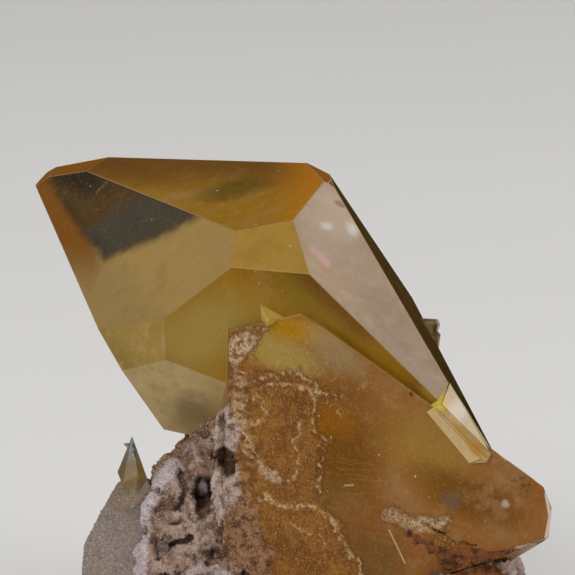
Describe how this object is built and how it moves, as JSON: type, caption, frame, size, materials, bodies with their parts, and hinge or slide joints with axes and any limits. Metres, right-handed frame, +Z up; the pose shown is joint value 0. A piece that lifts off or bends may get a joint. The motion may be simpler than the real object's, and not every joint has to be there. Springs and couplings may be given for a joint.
{
  "type": "calcite mineral specimen",
  "caption": "Free-standing calcite specimen: a large doubly pointed honey crystal grown together with a broad one, and a frosted crystal, on a rough porous matrix.",
  "frame": {"origin": "middle of the bounding box's underside, on the surface the specimen rests on", "axes": "+Z up from the flat base, +X to the right and +Y away from the viewer in the front view"},
  "size_m": [0.0796, 0.073, 0.0676],
  "materials": {
    "honey_calcite": "translucent honey crystal, glassy facets",
    "frosted_calcite": "frosted, matte, sandy",
    "porous_matrix": "rough, porous, pinkish white"
  },
  "bodies": {
    "root": {"calcite_crystals": "honey_calcite", "frosted_crystal": "frosted_calcite", "matrix": "porous_matrix"}
  },
  "joints": []
}
